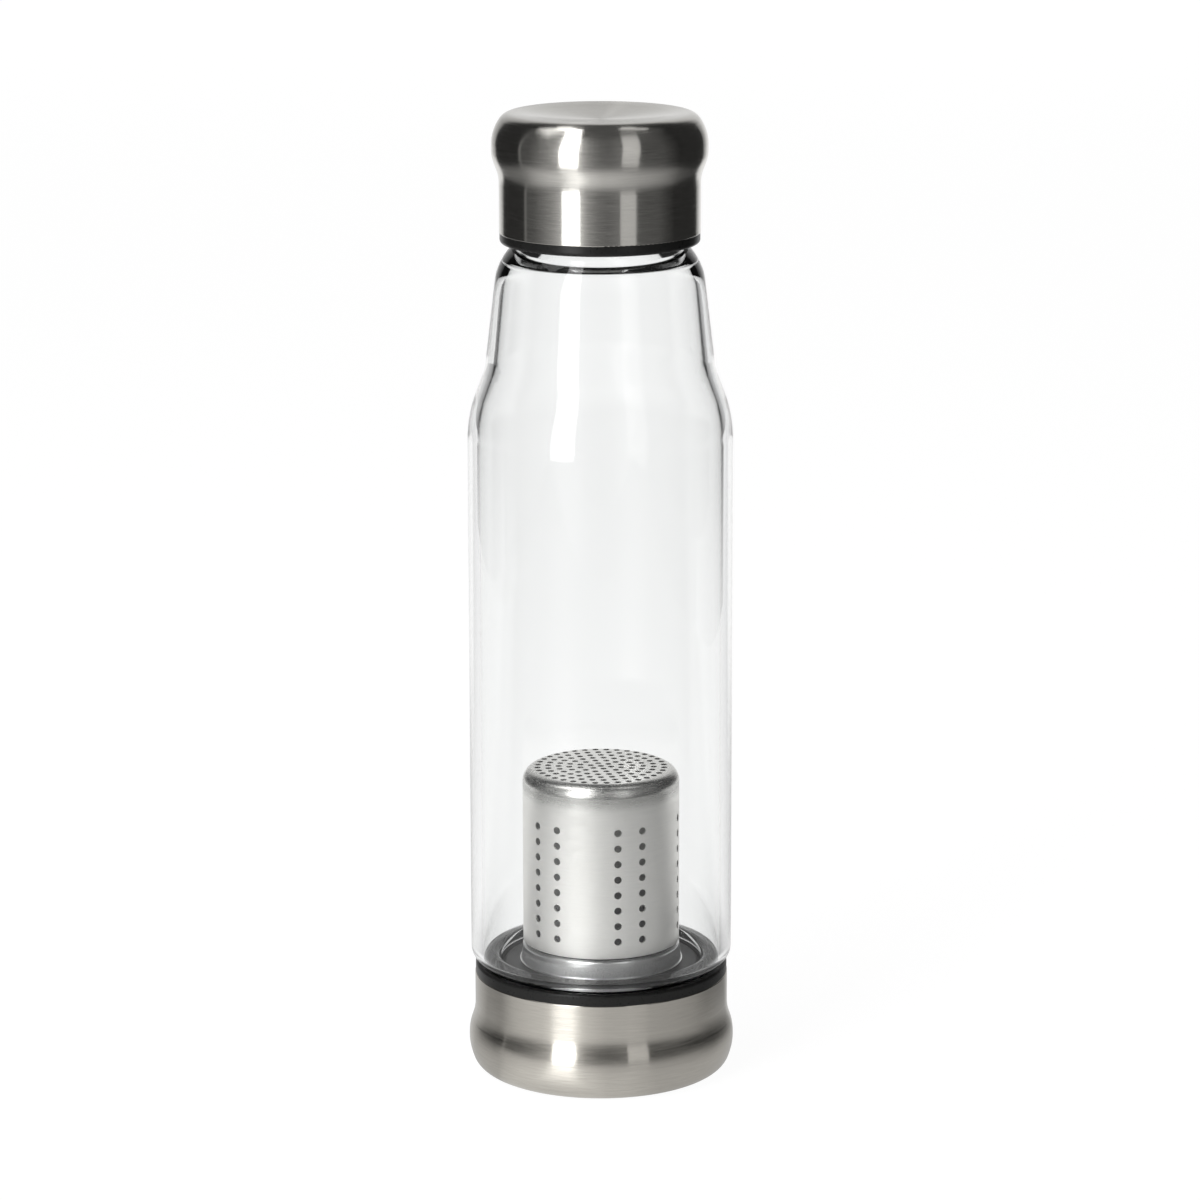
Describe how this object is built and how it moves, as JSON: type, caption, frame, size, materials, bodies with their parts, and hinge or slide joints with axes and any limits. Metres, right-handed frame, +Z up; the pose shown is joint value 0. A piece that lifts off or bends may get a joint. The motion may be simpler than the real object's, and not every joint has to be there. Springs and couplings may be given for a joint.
{
  "type": "fruit infuser water bottle",
  "caption": "Clear glass bottle with a threaded steel cap, a screw-on steel base and a perforated infuser basket inside.",
  "frame": {"origin": "centre of the base on the floor it stands on", "axes": "+Z up along the bottle's axis, -Y towards the viewer of the picture"},
  "size_m": [0.0662, 0.0662, 0.2401],
  "materials": {
    "shell_steel": "fine circular brushing, satin bright",
    "infuser_steel": "satin stainless steel, brushed round the axis",
    "tray_steel": "pressed stainless steel, bright, with a matte sloping side",
    "clear_glass": "clear polished glass",
    "black_plastic": "black, smooth, slightly satin",
    "silicone": "milky white food-grade silicone"
  },
  "bodies": {
    "base": {"base_shell": "shell_steel", "base_insert": "black_plastic", "infuser_tray": "black_plastic", "infuser_collar": "tray_steel"},
    "lower_seal": {"base_seal": "silicone"},
    "bottle": {"glass_body": "clear_glass"},
    "upper_seal": {"cap_seal": "silicone"},
    "cap": {"cap_shell": "shell_steel", "cap_insert": "black_plastic"},
    "infuser": {"infuser_basket": "infuser_steel"}
  },
  "joints": [
    {"name": "body_turn", "type": "hinge", "parent": "base", "child": "lower_seal", "pos_m": [0, 0, 0], "axis": [0, 0, 1], "range_deg": [0, 720]},
    {"name": "body_rise", "type": "slide", "parent": "lower_seal", "child": "bottle", "axis": [0, 0, 1], "range_m": [0, 0.0161]},
    {"name": "cap_rise", "type": "slide", "parent": "bottle", "child": "upper_seal", "axis": [0, 0, 1], "range_m": [0, 0.0241]},
    {"name": "cap_turn", "type": "hinge", "parent": "upper_seal", "child": "cap", "pos_m": [0, 0, 0], "axis": [0, 0, 1], "range_deg": [0, 1080]},
    {"name": "infuser_lift", "type": "slide", "parent": "base", "child": "infuser", "axis": [0, 0, 1], "range_m": [0, 0.06]}
  ],
  "couplings": [
    {"joint": "body_rise", "follows": "body_turn", "m_per_rad": 0.0012732},
    {"joint": "cap_rise", "follows": "cap_turn", "m_per_rad": 0.0012732}
  ]
}
